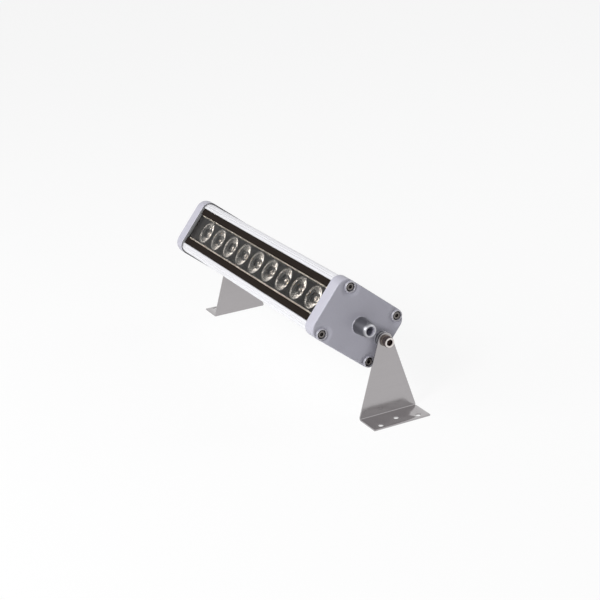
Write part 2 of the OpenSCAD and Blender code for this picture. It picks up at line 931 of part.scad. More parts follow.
// Folded sheet seen from the front, in (x, z): plate, bend and foot
module bracket_fold() {
    bend_outer = bend_radius + sheet_thickness;
    bend_centre = [plate_inner + bend_outer, bend_outer];
    top = pivot_height + tip_radius + overrun;
    polygon(concat(
        [[plate_inner, top], [plate_outer, top]],
        arc_points(bend_centre, [bend_radius, bend_radius], 180, 270, corner_steps),
        [[plate_outer + foot_width, sheet_thickness], [plate_outer + foot_width, 0]],
        arc_points(bend_centre, [bend_outer, bend_outer], 270, 180, corner_steps)
    ));
}

module bracket() {
    difference() {
        intersection() {
            translate([0, foot_length / 2 + overrun, 0])
                rotate([90, 0, 0])
                    linear_extrude(foot_length + 2 * overrun) bracket_fold();
            along_x(plate_inner - overrun, sheet_thickness + foot_width + 2 * overrun)
                bracket_side_view();
        }
        translate([0, 0, pivot_height])
            about_x(plate_inner - overrun)
                cylinder(d = pivot_bolt_diameter + 2 * hole_running_gap, h = sheet_thickness + 2 * overrun);
        for (y = [-foot_hole_spacing / 2, foot_hole_spacing / 2])
            translate([plate_outer + outer_hole_reach, y, -overrun])
                cylinder(d = foot_hole, h = sheet_thickness + 2 * overrun);
        translate([plate_outer + middle_hole_reach, 0, -overrun])
            cylinder(d = foot_hole, h = sheet_thickness + 2 * overrun);
    }
}

module right_bracket() {
    color([0.72, 0.72, 0.72]) bracket();
}

module left_bracket() {
    color([0.72, 0.72, 0.72]) left_side() bracket();
}

housing_extrusion();
glass_cover();
upper_glazing_strip();
lower_glazing_strip();
glass_bedding_tapes();
thermal_pad();
led_board();
board_screws();
for (i = [1 : led_count]) {
    led(i);
    lens(i);
    lens_holder(i);
}
driver_board();
driver_transformer();
driver_capacitors();
driver_choke();
driver_heatsink();
driver_terminal();
led_leads();
right_end_cap();
left_end_cap();
right_gasket();
left_gasket();
right_cap_screws();
left_cap_screws();
cable_grommet();
blanking_plug();
right_pivot_bolt();
left_pivot_bolt();
right_spring_washer();
left_spring_washer();
right_flat_washer();
left_flat_washer();
right_bracket();
left_bracket();
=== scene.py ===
import json

import bmesh
import bpy
import numpy as np
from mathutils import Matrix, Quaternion, Vector
from mathutils.geometry import delaunay_2d_cdt


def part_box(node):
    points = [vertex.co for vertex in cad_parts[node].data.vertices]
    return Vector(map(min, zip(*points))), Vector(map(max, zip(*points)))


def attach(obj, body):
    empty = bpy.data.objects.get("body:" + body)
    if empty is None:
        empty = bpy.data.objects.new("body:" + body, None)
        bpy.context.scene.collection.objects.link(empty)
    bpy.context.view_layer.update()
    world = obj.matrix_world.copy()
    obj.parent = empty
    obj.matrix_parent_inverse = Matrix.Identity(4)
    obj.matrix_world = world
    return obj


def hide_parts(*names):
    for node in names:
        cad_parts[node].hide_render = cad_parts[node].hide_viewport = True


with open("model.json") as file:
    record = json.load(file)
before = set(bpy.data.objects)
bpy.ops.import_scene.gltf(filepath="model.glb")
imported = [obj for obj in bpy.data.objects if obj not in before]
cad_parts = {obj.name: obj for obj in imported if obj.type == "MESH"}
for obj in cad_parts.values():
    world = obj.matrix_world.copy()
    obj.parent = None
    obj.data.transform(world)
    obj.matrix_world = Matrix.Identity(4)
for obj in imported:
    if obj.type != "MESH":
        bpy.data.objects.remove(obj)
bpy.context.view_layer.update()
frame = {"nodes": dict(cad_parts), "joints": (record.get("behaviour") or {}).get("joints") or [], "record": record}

# Camera: a long lens on a tripod, a little above the lamp and before its cabled end, held very
# slightly out of level, as in the photograph.
camera_place = Vector((1.1815, -0.5850, 0.5503))
camera_azimuth, camera_elevation, camera_roll = np.radians([63.80, 20.28, -3.42])
focal_length_px, image_width_px = 1387.3, 600
sensor_width_mm = 36
view_limit = 20

camera_data = bpy.data.cameras.new("camera")
camera_data.sensor_width = sensor_width_mm
camera_data.lens = focal_length_px / image_width_px * sensor_width_mm
camera_data.clip_end = view_limit
camera = bpy.data.objects.new("camera", camera_data)
bpy.context.scene.collection.objects.link(camera)
bpy.context.scene.camera = camera
towards_camera = Vector((
    np.sin(camera_azimuth) * np.cos(camera_elevation),
    -np.cos(camera_azimuth) * np.cos(camera_elevation),
    np.sin(camera_elevation),
))
level_view = (-towards_camera).to_track_quat("-Z", "Y")
camera.location = camera_place
camera.rotation_mode = "QUATERNION"
camera.rotation_quaternion = level_view @ Quaternion((0, 0, 1), camera_roll)


# Studio: a white floor and surround, a large soft box in front and above, one that lights the cabled
# end from the front, and a weak one behind. Shiny and clear surfaces see the white surround.
floor_half = 4.0
surround_for_view = 1.0
surround_for_light = 0.13
floor_glow_share = 0.9
soft_boxes = [
    ("front_box", (-0.25, -1.45, 0.95), 1.1, 16.0),
    ("end_box", (0.76, -1.40, 1.10), 0.45, 20.0),
    ("rear_box", (0.30, 1.50, 1.20), 1.0, 8.0),
]


def add_node(tree, kind, settings=None, links=None):
    """Adds a node, sets its inputs or options by name or number, and links its inputs."""
    made = tree.nodes.new(kind)
    for name, value in (settings or {}).items():
        if isinstance(name, int) or name in made.inputs:
            made.inputs[name].default_value = value
        else:
            setattr(made, name, value)
    for name, source in (links or {}).items():
        tree.links.new(source, made.inputs[name])
    return made


def paint(hex_code):
    """A colour from its sRGB hex value, as linear light with full cover."""
    share = np.array([int(hex_code[i:i + 2], 16) for i in (1, 3, 5)]) / 255
    linear = np.where(share <= 0.04045, share / 12.92, ((share + 0.055) / 1.055) ** 2.4)
    return (*linear.tolist(), 1.0)


def seen_directly(tree):
    """1 for rays from the camera, a shiny surface or a clear one, and 0 for the light that falls."""
    path = add_node(tree, "ShaderNodeLightPath")
    shiny = add_node(tree, "ShaderNodeMath", {"operation": "MAXIMUM"},
                     {0: path.outputs["Is Glossy Ray"], 1: path.outputs["Is Transmission Ray"]})
    return add_node(tree, "ShaderNodeMath", {"operation": "MAXIMUM"},
                    {0: path.outputs["Is Camera Ray"], 1: shiny.outputs[0]}).outputs[0]


world = bpy.data.worlds.new("white_surround")
bpy.context.scene.world = world
world.use_nodes = True
sky = world.node_tree
sky.nodes.clear()
falling = add_node(sky, "ShaderNodeBackground",
                   {"Color": paint("#FAFAFF"), "Strength": surround_for_light})
viewed = add_node(sky, "ShaderNodeBackground",
                  {"Color": paint("#FFFFFF"), "Strength": surround_for_view})
mixed = add_node(sky, "ShaderNodeMixShader", links={
    0: seen_directly(sky), 1: falling.outputs[0], 2: viewed.outputs[0]})
add_node(sky, "ShaderNodeOutputWorld", links={"Surface": mixed.outputs[0]})

floor_mesh = bpy.data.meshes.new("floor")
floor_corners = [(x * floor_half, y * floor_half, 0) for x, y in ((-1, -1), (1, -1), (1, 1), (-1, 1))]
floor_mesh.from_pydata(floor_corners, [], [(0, 1, 2, 3)])
floor = bpy.data.objects.new("floor", floor_mesh)
bpy.context.scene.collection.objects.link(floor)
table_top = bpy.data.materials.new("white_table_top")
table_top.use_nodes = True
top_tree = table_top.node_tree
top_tree.nodes.clear()
matt = add_node(top_tree, "ShaderNodeBsdfDiffuse", {"Color": paint("#F2F2F2")})
glow = add_node(top_tree, "ShaderNodeEmission",
                {"Color": paint("#FFFFFF"), "Strength": surround_for_view})
glow_share = add_node(top_tree, "ShaderNodeMath", {"operation": "MULTIPLY", 1: floor_glow_share},
                      {0: seen_directly(top_tree)})
floor_mix = add_node(top_tree, "ShaderNodeMixShader", links={
    0: glow_share.outputs[0], 1: matt.outputs[0], 2: glow.outputs[0]})
add_node(top_tree, "ShaderNodeOutputMaterial", links={"Surface": floor_mix.outputs[0]})
floor_mesh.materials.append(table_top)

for name, place, side, power in soft_boxes:
    lamp_data = bpy.data.lights.new(name, "AREA")
    lamp_data.size = side
    lamp_data.energy = power
    lamp = bpy.data.objects.new(name, lamp_data)
    bpy.context.scene.collection.objects.link(lamp)
    lamp.location = place
    lamp.rotation_mode = "QUATERNION"
    lamp.rotation_quaternion = (-Vector(place)).to_track_quat("-Z", "Y")
bpy.context.scene.view_settings.view_transform = "Standard"


# Housing: an aluminium extrusion, sawn to length and anodised. Its section has two front lips beside
# the glass, fluted shoulders, grooved sides, a finned back and round ports for the cap screws.
MM = 0.001
lip_land = 2.4
lip_groove = [0.5, 0.35]
shoulder_depth = 8.0
flute_pitch, flute_depth = 2.2, 0.7
side_groove_pitch, side_groove_width, side_groove_depth, side_groove_count = 6.0, 2.0, 0.8, 9
rear_corner_radius = 6.0
fin_pitch, fin_gap, fin_depth = 6.0, 3.0, 3.0
wall = 2.5
front_opening_half, ledge_width, ledge_depth = 21.4, 3.4, 2.5
rib_inner, rib_outer, bead_height = 13.0, 14.2, 0.5
rail_reach, rail_thickness, rail_slot = 2.2, 1.2, 1.9
driver_board_middle = -20.8
shelf_thickness = 3.5
port_radius, port_boss_radius = 2.05, 4.0
cap_screw_half_span = np.array([24.8, 30.25])
screw_places = [np.array(sign) * cap_screw_half_span for sign in ((1, 1), (1, -1), (-1, 1), (-1, -1))]
edge_softness, notch_slope = 0.25, 0.3
shoulder_steps, corner_steps, boss_steps, port_steps = 120, 12, 24, 32
weld, tiny, sharp_angle = 2e-6, 1e-7, np.radians(35)

tilt_axis = np.array(frame["joints"][0]["pos_m"])
cable_mount = next(m for m in frame["record"]["mounts"] if m["name"] == "cable_inlet")
lamp_origin = np.array(cable_mount["pos_m"]) * [0, 1, 1]
beam = (lamp_origin - tilt_axis) / np.linalg.norm(lamp_origin - tilt_axis)
along = np.array([1.0, 0.0, 0.0])
across = np.cross(beam, along)


def to_row(points):
    """Lamp millimetres, as x along the bar, y across it and z along the beam, to row metres."""
    p = np.asarray(points, float) * MM
    return lamp_origin + p[..., :1] * along + p[..., 1:2] * across + p[..., 2:] * beam


def lamp_box(node):
    """Lowest and highest corner of a CAD node in lamp millimetres."""
    mesh = frame["nodes"][node].data
    flat = np.empty(len(mesh.vertices) * 3, np.float32)
    mesh.vertices.foreach_get("co", flat)
    p = (flat.reshape(-1, 3) - lamp_origin) / MM
    local = np.stack([p @ along, p @ across, p @ beam], axis=1)
    return local.min(0), local.max(0)


def distinct(loop):
    """A loop without the points that repeat the one before them."""
    return loop[np.linalg.norm(loop - np.roll(loop, 1, axis=0), axis=1) > 1e-6]


def drawn_in(loop, depth):
    """A loop moved inwards by a depth, along the normal of the chord between its neighbours."""
    chord = np.roll(loop, -1, axis=0) - np.roll(loop, 1, axis=0)
    following = np.roll(loop, -1, axis=0)
    turning = np.sign(np.sum(loop[:, 0] * following[:, 1] - loop[:, 1] * following[:, 0]))
    normal = np.stack([-chord[:, 1], chord[:, 0]], axis=1) / np.linalg.norm(chord, axis=1)[:, None]
    return loop + normal * turning * depth


def rounded(corners, radii, steps=4):
    """A closed outline with its corners rounded: each becomes a parabola arc between two points
    that lie one radius before and after it, or half an edge where the edge is shorter."""
    p = np.asarray(corners, float)
    before, after = np.roll(p, 1, axis=0) - p, np.roll(p, -1, axis=0) - p
    long_before, long_after = (np.linalg.norm(v, axis=1, keepdims=True) for v in (before, after))
    r = np.broadcast_to(np.asarray(radii, float).reshape(-1, 1), (len(p), 1))
    start = p + before / long_before * np.minimum(r, long_before / 2)
    end = p + after / long_after * np.minimum(r, long_after / 2)
    t = np.linspace(0, 1, steps + 1).reshape(1, -1, 1)
    curve = (1 - t) ** 2 * start[:, None] + 2 * t * (1 - t) * p[:, None] + t ** 2 * end[:, None]
    return distinct(curve.reshape(-1, 2))


def arc(centre, radii, start, end, steps):
    """Points on an ellipse about a centre, from one angle to another in degrees."""
    a = np.radians(np.linspace(start, end, steps + 1))
    return np.stack([centre[0] + radii[0] * np.cos(a), centre[1] + radii[1] * np.sin(a)], axis=1)


def circle(centre, radius, steps):
    """Points on a circle, the first in the direction of the first axis."""
    turn = np.linspace(0, 2 * np.pi, steps, endpoint=False)
    return np.stack([centre[0] + radius * np.cos(turn), centre[1] + radius * np.sin(turn)], axis=1)


def grid_faces(rows, columns, closed):
    """Quads between the points of a grid, whose last column joins the first where it is closed."""
    r = np.arange(rows - 1)[:, None]
    c = np.arange(columns if closed else columns - 1)[None, :]
    right = (c + 1) % columns
    quads = np.stack([r * columns + c, r * columns + right, (r + 1) * columns + right,
                      (r + 1) * columns + c], axis=-1)
    return quads.reshape(-1, 4).tolist()


def flat_faces(loops, inner=()):
    """Triangles that fill a flat outline in (y, z) and leave its holes open: Delaunay triangles over
    the loops and the points between them, held to the loops' edges and kept where a line from their
    middle crosses an odd number of edges."""
    points = np.concatenate([*loops, *inner])
    starts = np.cumsum([0] + [len(loop) for loop in loops]).tolist()
    edges = [(first + i, first + (i + 1) % len(loop)) for first, loop in zip(starts, loops)
             for i in range(len(loop))]
    whole_hull = 0
    made = delaunay_2d_cdt([Vector(p) for p in points.tolist()], edges, [], whole_hull, tiny, True)
    made_faces, given_points = made[2], made[3]
    faces = np.array([[given_points[i][0] for i in face] for face in made_faces])
    middle = points[faces].mean(axis=1)[:, None]
    start, end = points[np.array(edges).T]
    rise = end[:, 1] - start[:, 1]
    spans = (start[:, 1] > middle[..., 1]) != (end[:, 1] > middle[..., 1])
    level = (middle[..., 1] - start[:, 1]) / np.where(rise == 0, 1, rise)
    crossing = start[:, 0] + level * (end[:, 0] - start[:, 0])
    odd = np.sum(spans & (crossing > middle[..., 0]), axis=1) % 2 == 1
    return faces[odd].tolist()


def make_piece(name, patches, body, finish, stands_for=(), mirror=False, place=to_row):
    """One object from patches of points in millimetres with their faces: merged where they meet,
    turned outwards, and smooth except where faces meet at a sharp angle."""
    points = np.concatenate([np.reshape(p, (-1, 3)) for p, faces in patches])
    points = place(points * [-1, 1, 1] if mirror else points)
    starts = np.cumsum([0] + [np.size(p) // 3 for p, faces in patches])
    faces = [[start + i for i in face] for start, (p, fs) in zip(starts, patches) for face in fs]
    mesh = bpy.data.meshes.new(name)
    mesh.from_pydata(points.tolist(), [], faces)
    shape = bmesh.new()
    shape.from_mesh(mesh)
    bmesh.ops.remove_doubles(shape, verts=shape.verts, dist=weld)
    bmesh.ops.dissolve_degenerate(shape, dist=tiny, edges=shape.edges)
    bmesh.ops.recalc_face_normals(shape, faces=shape.faces)
    shape.to_mesh(mesh)
    shape.free()
    mesh.shade_smooth()
    mesh.set_sharp_from_angle(angle=sharp_angle)
    mesh.materials.append(finish)
    piece = bpy.data.objects.new(name, mesh)
    bpy.context.scene.collection.objects.link(piece)
    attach(piece, body)
    if stands_for:
        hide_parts(*stands_for)
    return piece


def on_face(loop, x):
    """A loop in (y, z) at one place along the bar."""
    return np.column_stack([np.full(len(loop), x), loop])


def new_finish(name, base, metallic, roughness):
    """A material with a plain metallic value and colour on its shader, ready for its pattern."""
    finish = bpy.data.materials.new(name)
    finish.use_nodes = True
    tree = finish.node_tree
    shader = tree.nodes["Principled BSDF"]
    shader.inputs["Base Color"].default_value = paint(base)
    shader.inputs["Metallic"].default_value = metallic
    shader.inputs["Roughness"].default_value = roughness
    place = add_node(tree, "ShaderNodeTexCoord").outputs["Object"]
    return finish, tree, shader, place


def blend(tree, share, first, second):
    """A colour between two, each a hex value or a socket, by a share from 0 to 1."""
    mix = add_node(tree, "ShaderNodeMix", {"data_type": "RGBA"}, {0: share})
    for slot, colour in ((6, first), (7, second)):
        if isinstance(colour, str):
            mix.inputs[slot].default_value = paint(colour)
        else:
            tree.links.new(colour, mix.inputs[slot])
    return mix.outputs[2]


def add_pattern(tree, shader, value, colours=None, roughness=None, height_mm=None):
    """Spreads one pattern value, 0 to 1, over colour, roughness and a bump of real height."""
    if colours:
        tree.links.new(blend(tree, value, *colours), shader.inputs["Base Color"])
    if roughness:
        spread = add_node(tree, "ShaderNodeMapRange", {"To Min": roughness[0], "To Max": roughness[1]},
                          {"Value": value})
        tree.links.new(spread.outputs[0], shader.inputs["Roughness"])
    if height_mm:
        bump = add_node(tree, "ShaderNodeBump", {"Distance": height_mm * MM}, {"Height": value})
        tree.links.new(bump.outputs[0], shader.inputs["Normal"])


def grain(tree, place, grain_mm, stretch=(1, 1, 1), detail=3):
    """Noise whose grains are a real size, stretched so many times along each axis."""
    scale = [1 / (grain_mm * MM * s) for s in stretch]
    mapped = add_node(tree, "ShaderNodeMapping", {"Scale": scale}, {"Vector": place})
    return add_node(tree, "ShaderNodeTexNoise", {"Scale": 1.0, "Detail": detail},
                    {"Vector": mapped.outputs[0]}).outputs[0]


housing_low, housing_high = lamp_box("housing_extrusion")
side, front, rear = housing_high[1], housing_high[2], housing_low[2]
chamber_side = side - wall
glass_low, glass_high = lamp_box("glass_cover")
shelf_top = lamp_box("thermal_pad")[0][2]
shelf_bottom = shelf_top - shelf_thickness
ledge_top = lamp_box("glass_bedding_tapes")[0][2]
channel_top = ledge_top - ledge_depth

# Shoulder: a quarter ellipse, its surface drawn inwards by shallow round flutes
shoulder_centre = np.array([front_opening_half + lip_land, front - shoulder_depth])
shoulder = arc(shoulder_centre, (side - shoulder_centre[0], shoulder_depth), 90, 0, shoulder_steps)
step_length = np.linalg.norm(np.diff(shoulder, axis=0), axis=1)
travelled = np.concatenate([[0], np.cumsum(step_length)])
flute = flute_depth * np.sin(np.pi * travelled / flute_pitch) ** 2
inwards = shoulder_centre - shoulder
shoulder = shoulder + inwards / np.linalg.norm(inwards, axis=1, keepdims=True) * flute[:, None]

lip_edge = shoulder_centre[0]
s = edge_softness
lip = rounded([
    (front_opening_half, ledge_top), (front_opening_half, front),
    (lip_edge - lip_groove[0], front), (lip_edge - lip_groove[0], front - lip_groove[1]),
    (lip_edge, front - lip_groove[1]), (lip_edge, front)], [0, s, s / 2, s / 2, s / 2, 0])
first_groove = front - shoulder_depth - side_groove_pitch / 2 + side_groove_width
side_notches = [
    (y, first_groove - i * side_groove_pitch - dz)
    for i in range(side_groove_count)
    for y, dz in ((side, 0), (side - side_groove_depth, notch_slope),
                  (side - side_groove_depth, side_groove_width - notch_slope),
                  (side, side_groove_width))]
fin_count = int((side - rear_corner_radius - fin_gap / 2) // fin_pitch)
fin_notches = [
    (i * fin_pitch + dy, z)
    for i in range(fin_count, -1, -1)
    for dy, z in ((fin_gap / 2, rear), (fin_gap / 2 - notch_slope, rear + fin_depth),
                  (notch_slope - fin_gap / 2, rear + fin_depth), (-fin_gap / 2, rear))]
fin_notches = [p for p in fin_notches if p[0] >= 0]
outside = np.concatenate([
    lip, shoulder,
    rounded([(side, front - shoulder_depth)] + side_notches + [(side, rear + rear_corner_radius)],
            [0] + [s] * len(side_notches) + [0], 3),
    arc((side - rear_corner_radius, rear + rear_corner_radius),
        (rear_corner_radius, rear_corner_radius), 0, -90, corner_steps),
    rounded([(side - rear_corner_radius, rear)] + fin_notches + [(0, rear + fin_depth)],
            [0] + [2 * s] * len(fin_notches) + [0], 3)])
# The hollows go round the bosses of the four screw ports
port_y, port_z = cap_screw_half_span
boss_radii = port_boss_radius, port_boss_radius
chamber_rear = rear + fin_depth + wall
at_side = np.degrees(np.arccos((chamber_side - port_y) / port_boss_radius))
at_rear = 180 + np.degrees(np.arcsin((-port_z - chamber_rear) / port_boss_radius))
front_hollow = np.concatenate([
    [(rib_inner, shelf_top), (rib_inner, glass_low[2] - bead_height),
     (rib_outer, glass_low[2] - bead_height), (rib_outer, shelf_top), (chamber_side, shelf_top)],
    arc((port_y, port_z), boss_radii, 360 - at_side, at_side, boss_steps),
    [(chamber_side, channel_top), (front_opening_half - ledge_width, channel_top),
     (front_opening_half - ledge_width, ledge_top)]])
half_section = np.concatenate([front_hollow, outside])
section = distinct(np.concatenate([half_section, half_section[::-1] * [-1, 1]]))
slot_half = rail_slot / 2
rail_end = slot_half + rail_thickness
half_chamber = np.concatenate([
    [(chamber_side, shelf_bottom)],
    [(chamber_side - reach, driver_board_middle + height) for reach, height in (
        (0, rail_end), (rail_reach, rail_end), (rail_reach, slot_half), (0, slot_half),
        (0, -slot_half), (rail_reach, -slot_half), (rail_reach, -rail_end), (0, -rail_end))],
    arc((port_y, -port_z), boss_radii, at_side, at_rear, boss_steps)])
chamber = np.concatenate([half_chamber, half_chamber[::-1] * [-1, 1]])
loops = [section, chamber] + [circle(centre, port_radius, port_steps) for centre in screw_places]
ends = housing_low[0], housing_high[0]
housing_patches = [(np.stack([on_face(loop, x) for x in ends]), grid_faces(2, len(loop), True))
                   for loop in loops]
housing_patches += [(on_face(np.concatenate(loops), x), flat_faces(loops)) for x in ends]

anodised, tree, shader, place = new_finish("anodised_aluminium_extrusion", "#DCDCDF", 0.35, 0.4)
# Die lines run the length of the bar: fine scratches 0.15 mm apart, drawn at 0.35 mm to show
die_lines = grain(tree, place, 0.35, (300, 1, 1))
add_pattern(tree, shader, die_lines, ("#D6D6D9", "#E1E1E4"), (0.36, 0.44), 0.008)
housing = make_piece("housing_bar", housing_patches, "lamp", anodised, ["housing_extrusion"])


# End caps: aluminium die castings, sprayed satin grey, each held by four socket-head screws sunk in
# dished wells. Each carries a hollow boss for the supply cord and a solid boss for the pivot bolt.
cap_thickness, cap_edge_radius = 14.0, 1.2
cap_corners = {"front": 11.5, "rear": 11.2}
cap_back_corners = {"front": 10.3, "rear": 10.8}
well_radius, well_depth, screw_hole_radius = 4.5, 5.0, 2.25
ring_radius, ring_drop, ring_slope = 5.1, 0.3, 0.7
dish_radius, dish_depth = 10.8, 3.6
boss_root, boss_fillet, boss_neck, boss_tip, boss_dome, boss_length = 8.2, 1.6, 6.8, 5.8, 2.4, 18.5
bore_radius, grommet_seat = 4.3, (6.5, 5.0)
pivot_boss_radius, pivot_boss_fillet, pivot_boss_length = 7.2, 2.0, 3.4
pivot_thread_radius, pivot_thread_depth = 3.05, 16.0
edge_insets = (0, 0.05, 0.15, 0.32, 0.55, 0.85, 1.2, 1.8, 3.0, 4.4)
ring_radii = (4.8, 5.1, 5.25, 5.4, 5.55, 5.7, 5.85, 6.0, 6.3, 6.9, 7.6, 8.4, 9.3, 10.2, 11.1, 12.0,
              12.9, 13.8)
ring_reach, ring_gap, boss_margin, back_bevel = 5.9, 0.11, 0.8, 0.3
well_turn_steps, boss_turn_steps, outline_steps, outline_parts = 72, 96, 20, 40
bare_above_face, bare_about_bore, shaded_back_depth = 0.4, 0.15, 0.1
pivot_back = float(np.linalg.norm(lamp_origin - tilt_axis)) / MM
cap_low, cap_high = lamp_box("right_end_cap")
cap_back, cap_face = cap_low[0], cap_low[0] + cap_thickness
cap_half, cap_front, cap_rear = cap_high[1], cap_high[2], cap_low[2]


def turned(heights, radii, centre, steps=64, axis="x"):
    """A surface of revolution in lamp millimetres: radii, one for each height or a grid of height
    by angle, turned about an axis along the bar or the beam through a centre."""
    turn = np.linspace(0, 2 * np.pi, steps, endpoint=False)
    r = np.asarray(radii, float)
    r = r[:, None] + np.zeros(steps) if r.ndim == 1 else r
    h = np.asarray(heights, float)[:, None] + np.zeros(steps)
    first, second = r * np.cos(turn), r * np.sin(turn)
    local = np.stack([h, first, second] if axis == "x" else [first, second, h], axis=-1)
    return local + centre, grid_faces(len(r), steps, True)


def inside_distance(p):
    """How far points lie inside the cap's outline, a rectangle with rounded corners: the corner's
    radius less the distance beyond its centre, or plus the depth behind both its centre lines."""
    middle = (cap_front + cap_rear) / 2
    r = np.where(p[:, 1] > middle, cap_corners["front"], cap_corners["rear"])
    qy = np.abs(p[:, 0]) - cap_half + r
    qz = np.abs(p[:, 1] - middle) - (cap_front - cap_rear) / 2 + r
    return r - np.hypot(np.maximum(qy, 0), np.maximum(qz, 0)) - np.minimum(np.maximum(qy, qz), 0)


def cap_outline(inset, back_share=0.0):
    """The cap's outline drawn inwards: arcs about its corner centres, joined by divided lines. Their
    radii are those at the face, or by a share those at the back."""
    corners = [(1, -1, "rear"), (1, 1, "front"), (-1, 1, "front"), (-1, -1, "rear")]
    pieces = []
    for i, (sy, sz, end) in enumerate(corners):
        r = cap_corners[end] * (1 - back_share) + cap_back_corners[end] * back_share
        edge = cap_front if sz > 0 else cap_rear
        start = -90 + 90 * i
        pieces.append(arc((sy * (cap_half - r), edge - sz * r), (r - inset, r - inset),
                          start, start + 90, outline_steps))
    loop = []
    for i, piece in enumerate(pieces):
        following = pieces[(i + 1) % 4]
        share = np.linspace(0, 1, outline_parts + 1)[1:-1, None]
        loop += [piece, piece[-1] + share * (following[0] - piece[-1])]
    return np.concatenate(loop)


def cap_surface(p):
    """Where the cap's face lies along the bar: flat, less a round at the outline and a dish about
    each well in the shape of half a cosine wave, but never under the ring that lines the well,
    whose flat top ends in a slope."""
    from_edge = np.clip(cap_edge_radius - inside_distance(p), 0, cap_edge_radius)
    edge_drop = cap_edge_radius - np.sqrt(cap_edge_radius ** 2 - from_edge ** 2)
    from_well = np.hypot(*(np.abs(p) - cap_screw_half_span).T)
    dish = dish_depth * (1 + np.cos(np.pi * np.clip(from_well / dish_radius, 0, 1))) / 2
    ring = -ring_drop - np.maximum(from_well - ring_radius, 0) / ring_slope
    return cap_face + np.maximum(ring, -edge_drop - dish)


cable_centre, pivot_centre = np.array([0.0, 0.0]), np.array([0.0, -pivot_back])
bosses = [(cable_centre, boss_root + boss_fillet), (pivot_centre, pivot_boss_radius + pivot_boss_fillet)]
edge_rows = [cap_outline(inset) for inset in edge_insets]
edge_points = np.concatenate(edge_rows[1:])
near_well = np.hypot(*(np.abs(edge_points) - cap_screw_half_span).T) < ring_reach
in_boss = np.any([np.hypot(*(edge_points - centre).T) < r for centre, r in bosses], axis=0)
edge_points = edge_points[~(near_well | in_boss)]
well_points = np.concatenate([circle(w, r, well_turn_steps) for w in screw_places for r in ring_radii])
well_points = well_points[inside_distance(well_points) > ring_gap]
face_loops = [edge_rows[0]] + [circle(w, well_radius, well_turn_steps) for w in screw_places] + [
    circle(centre, r, boss_turn_steps) for centre, r in bosses]
face_inner = [edge_points, well_points] + [
    circle(centre, r + boss_margin, boss_turn_steps) for centre, r in bosses]
face_points = np.concatenate(face_loops + face_inner)
cap_patches = [(np.column_stack([cap_surface(face_points), face_points]),
                flat_faces(face_loops, face_inner))]
side_rows = [(0, 0, cap_surface(edge_rows[0])), (0, 1, cap_back + back_bevel), (back_bevel, 1, cap_back)]
cap_patches.append((np.stack([on_face(cap_outline(d, share), x) for d, share, x in side_rows]),
                    grid_faces(len(side_rows), len(edge_rows[0]), True)))
well_top = float(cap_surface(circle(screw_places[0], well_radius, 4)[:1])[0])
for w in screw_places:
    cap_patches.append(turned(
        [well_top, cap_face - well_depth, cap_face - well_depth, cap_back],
        [well_radius, well_radius, screw_hole_radius, screw_hole_radius], [0, *w], well_turn_steps))
cable_boss = rounded([
    (cap_face, boss_root + boss_fillet), (cap_face, boss_root),
    (cap_face + boss_length - boss_dome, boss_neck),
    (cap_face + boss_length, boss_tip), (cap_face + boss_length, bore_radius),
    (cap_back + grommet_seat[1], bore_radius), (cap_back + grommet_seat[1], grommet_seat[0]),
    (cap_back, grommet_seat[0])], [0, boss_fillet, boss_dome, 0.5, 0.4, 0, 0, 0], 8)
cap_patches.append(turned(*cable_boss.T, [0, *cable_centre], boss_turn_steps))
pivot_top = cap_face + pivot_boss_length
pivot_boss = rounded([
    (cap_face, pivot_boss_radius + pivot_boss_fillet), (cap_face, pivot_boss_radius),
    (pivot_top, pivot_boss_radius), (pivot_top, pivot_thread_radius),
    (pivot_top - pivot_thread_depth, pivot_thread_radius), (pivot_top - pivot_thread_depth, 0)],
    [0, pivot_boss_fillet, 0.6, 0.3, 0, 0], 8)
cap_patches.append(turned(*pivot_boss.T, [0, *pivot_centre], boss_turn_steps))
back_loops = [cap_outline(back_bevel, 1)] + [
    circle(w, screw_hole_radius, well_turn_steps) for w in screw_places] + [
    circle(cable_centre, grommet_seat[0], boss_turn_steps)]
cap_patches.append((on_face(np.concatenate(back_loops), cap_back), flat_faces(back_loops)))


def beyond(tree, place, distance_mm):
    """1 where a surface is further out along the bar than a distance, on either side, else 0."""
    x = add_node(tree, "ShaderNodeSeparateXYZ", links={0: place}).outputs[0]
    either = add_node(tree, "ShaderNodeMath", {"operation": "ABSOLUTE"}, {0: x}).outputs[0]
    return add_node(tree, "ShaderNodeMath", {"operation": "GREATER_THAN", 1: distance_mm * MM},
                    {0: either}).outputs[0]


def nearer_than(tree, place, centre, radius_mm):
    """1 where a surface is nearer than a radius to a line along the bar through a centre, else 0."""
    flat = add_node(tree, "ShaderNodeVectorMath", {"operation": "MULTIPLY", 1: (0, 1, 1)}, {0: place})
    away = add_node(tree, "ShaderNodeVectorMath", {"operation": "DISTANCE", 1: (0, *centre[1:])},
                    {0: flat.outputs[0]})
    return add_node(tree, "ShaderNodeMath", {"operation": "LESS_THAN", 1: radius_mm * MM},
                    {0: away.outputs["Value"]}).outputs[0]


def shaded_side_lit_end(tree, colours):
    """A colour for faces that look sideways from the bar's line and one for those that look along, the sides in a
    painted shade
    and the ends in a painted highlight: the change lies where the normal's part along the bar is 0.2 to 0.7."""
    normal = add_node(tree, "ShaderNodeTexCoord").outputs["Normal"]
    x = add_node(tree, "ShaderNodeSeparateXYZ", links={0: normal}).outputs[0]
    either = add_node(tree, "ShaderNodeMath", {"operation": "ABSOLUTE"}, {0: x}).outputs[0]
    spread = add_node(tree, "ShaderNodeMapRange", {"From Min": 0.2, "From Max": 0.7}, {"Value": either})
    return blend(tree, spread.outputs[0], *colours)


cap_paint, tree, shader, place = new_finish("satin_grey_stoved_paint", "#B4B3BE", 0.0, 0.38)
# Sprayed paint: orange peel of about 1.2 mm over the finer grain of the casting
peel = grain(tree, place, 1.2, detail=2)
add_pattern(tree, shader, peel, ("#AFAEB9", "#B8B7C2"), (0.34, 0.44), 0.012)
